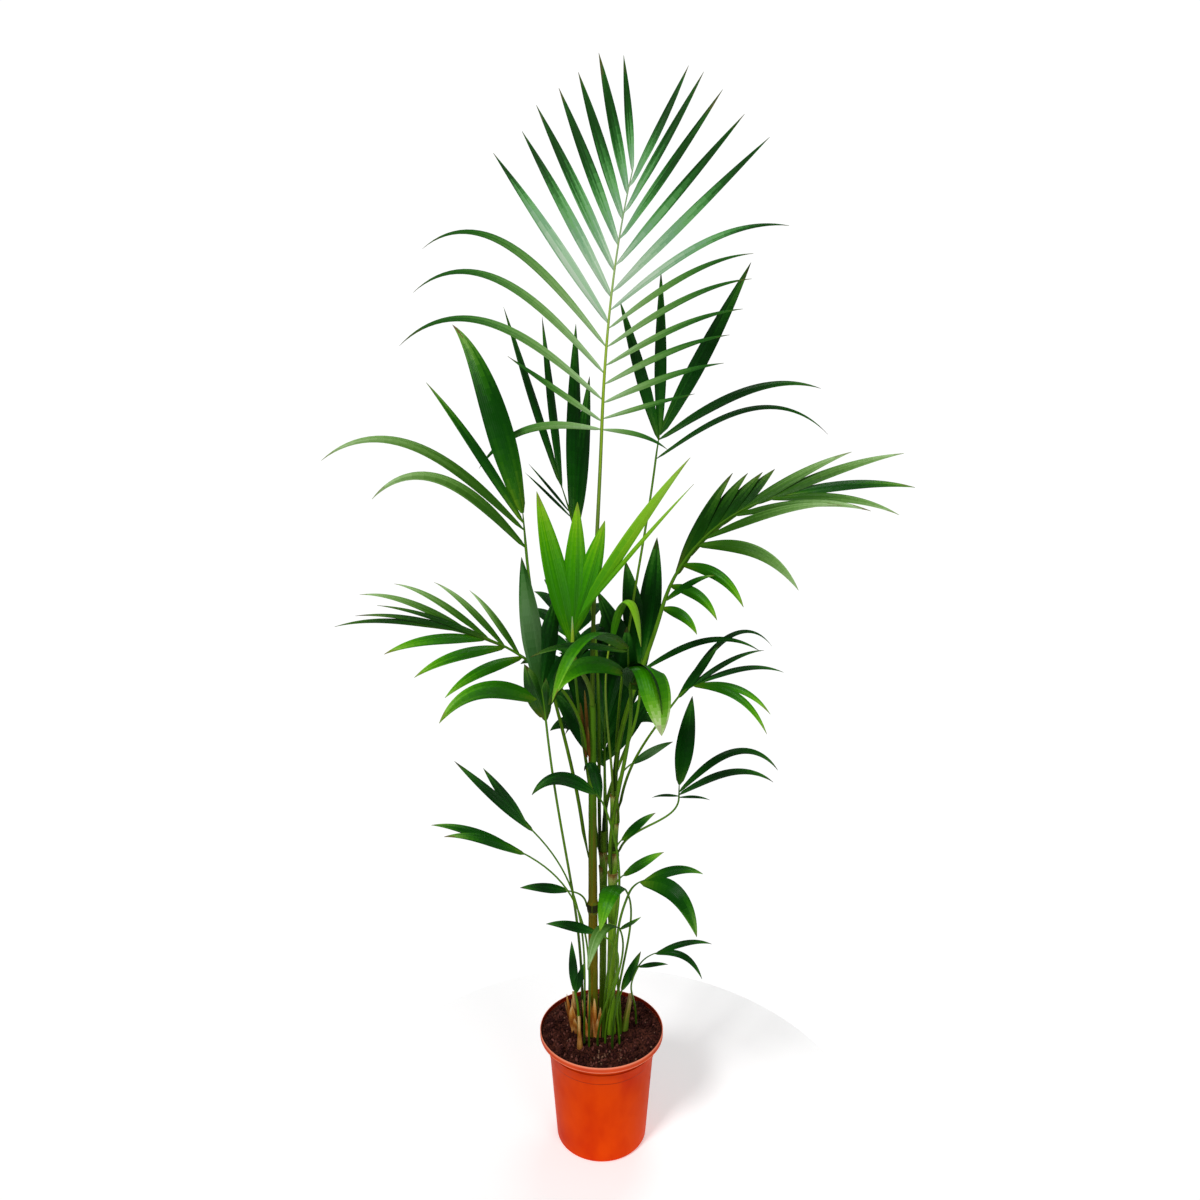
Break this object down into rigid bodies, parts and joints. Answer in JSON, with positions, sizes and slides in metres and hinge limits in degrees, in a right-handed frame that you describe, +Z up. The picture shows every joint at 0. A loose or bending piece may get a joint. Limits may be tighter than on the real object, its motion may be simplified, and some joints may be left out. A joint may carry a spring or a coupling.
{
  "type": "potted palm",
  "caption": "Tall clump of slender ringed palm stems with arching feather-shaped fronds, growing in a round tapered nursery pot filled with soil.",
  "frame": {"origin": "centre of the pot's flat underside", "axes": "+Z up along the pot's axis and the plant; the plant is seen in the picture by looking along +Y, with +X to the right"},
  "size_m": [0.9705, 0.6991, 2.0458],
  "materials": {
    "pot_plastic": "orange injection-moulded polypropylene, satin",
    "potting_soil": "moist crumbly potting mix, matte",
    "cane_brown": "smooth ringed palm stem, brown and olive",
    "cane_green": "smooth ringed palm stem, green",
    "dry_stalk": "dry fibrous stalk, matte",
    "leaf_young": "yellow-green young leaf, soft sheen",
    "leaf_bright": "bright green leaf, soft sheen",
    "leaf_mid": "mid green leaf, soft sheen",
    "leaf_dark": "dark green leaf, soft sheen",
    "leaf_sage": "leaf with a waxy pale sheen towards the rib"
  },
  "bodies": {
    "root": {"pot": "pot_plastic", "soil": "potting_soil", "cane_left": "cane_brown", "cane_right": "cane_green", "cane_middle": "cane_green", "old_stalk_left": "dry_stalk", "old_stalk_front": "dry_stalk", "old_stalk_right": "dry_stalk", "frond_top": "leaf_sage", "frond_back_left": "leaf_dark", "frond_back_right": "leaf_dark", "frond_left": "leaf_mid", "frond_young": "leaf_young", "frond_right": "leaf_mid", "frond_low_left": "leaf_mid", "frond_lower_left": "leaf_bright", "frond_front": "leaf_bright", "frond_inner_right": "leaf_dark", "frond_right_low": "leaf_dark", "frond_right_lowest": "leaf_dark", "frond_low_centre": "leaf_dark", "frond_far_left": "leaf_dark", "frond_far_left_low": "leaf_mid", "leaf_left": "leaf_dark", "leaf_front": "leaf_dark", "frond_low_right": "leaf_bright", "leaf_low_centre": "leaf_bright", "frond_lowest_right": "leaf_dark", "shoot_left": "leaf_dark", "shoot_right": "leaf_mid", "leaf_low_front": "leaf_bright", "leaf_low_right": "leaf_bright", "leaf_mid_right": "leaf_mid", "leaf_high_right": "leaf_dark", "leaf_folded": "leaf_young", "frond_centre": "leaf_dark", "frond_back_high": "leaf_dark", "frond_back": "leaf_dark"}
  },
  "joints": []
}
